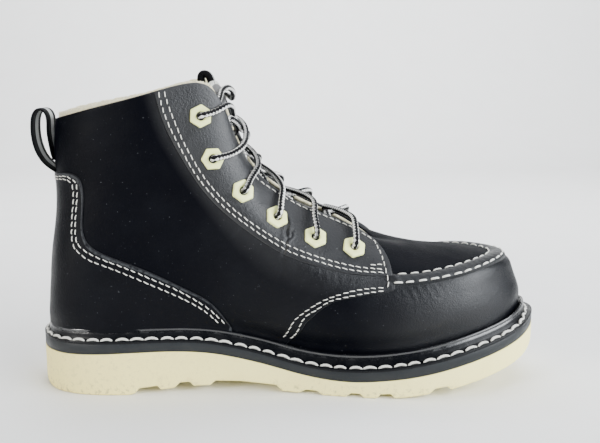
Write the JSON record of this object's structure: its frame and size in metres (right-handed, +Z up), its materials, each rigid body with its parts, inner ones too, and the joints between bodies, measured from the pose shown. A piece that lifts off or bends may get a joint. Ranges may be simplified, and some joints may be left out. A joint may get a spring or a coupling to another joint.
{
  "type": "wedge sole work boot",
  "caption": "Lace-up ankle work boot with a moc toe, storm welt and a light wedge sole; hollow upper open at the collar, with a tongue, laces and pull loops.",
  "frame": {"origin": "on the floor, under the middle of the whole boot's box", "axes": "+X from heel to toe, -Y towards the medial (inner) side, +Z up"},
  "size_m": [0.3062, 0.1124, 0.1905],
  "materials": {
    "cream_rubber": "matt, slightly soiled at the edges",
    "grey_rubber": "satin",
    "black_rubber": "satin",
    "footbed": "felt",
    "black_leather": "smooth, semi-gloss",
    "tongue_leather": "soft, satin",
    "webbing": "woven, with a grey middle stripe",
    "eyelet_plastic": "pale yellow-green",
    "lace": "round braid, white flecked with black"
  },
  "bodies": {
    "root": {"outsole": "cream_rubber", "midsole": "grey_rubber", "welt": "black_rubber", "insole": "footbed", "upper": "black_leather", "heel_counter": "black_leather", "eyestay_medial": "black_leather", "eyestay_lateral": "black_leather", "apron_seam": "black_leather", "tongue": "tongue_leather", "heel_loop": "webbing", "tongue_loop": "webbing", "eyelet_medial_1": "eyelet_plastic", "eyelet_medial_2": "eyelet_plastic", "eyelet_medial_3": "eyelet_plastic", "eyelet_medial_4": "eyelet_plastic", "eyelet_medial_5": "eyelet_plastic", "eyelet_medial_6": "eyelet_plastic", "eyelet_lateral_1": "eyelet_plastic", "eyelet_lateral_2": "eyelet_plastic", "eyelet_lateral_3": "eyelet_plastic", "eyelet_lateral_4": "eyelet_plastic", "eyelet_lateral_5": "eyelet_plastic", "eyelet_lateral_6": "eyelet_plastic", "lace_crossing_1": "lace", "lace_crossing_2": "lace", "lace_crossing_3": "lace", "lace_crossing_4": "lace", "lace_crossing_5": "lace"}
  },
  "joints": []
}
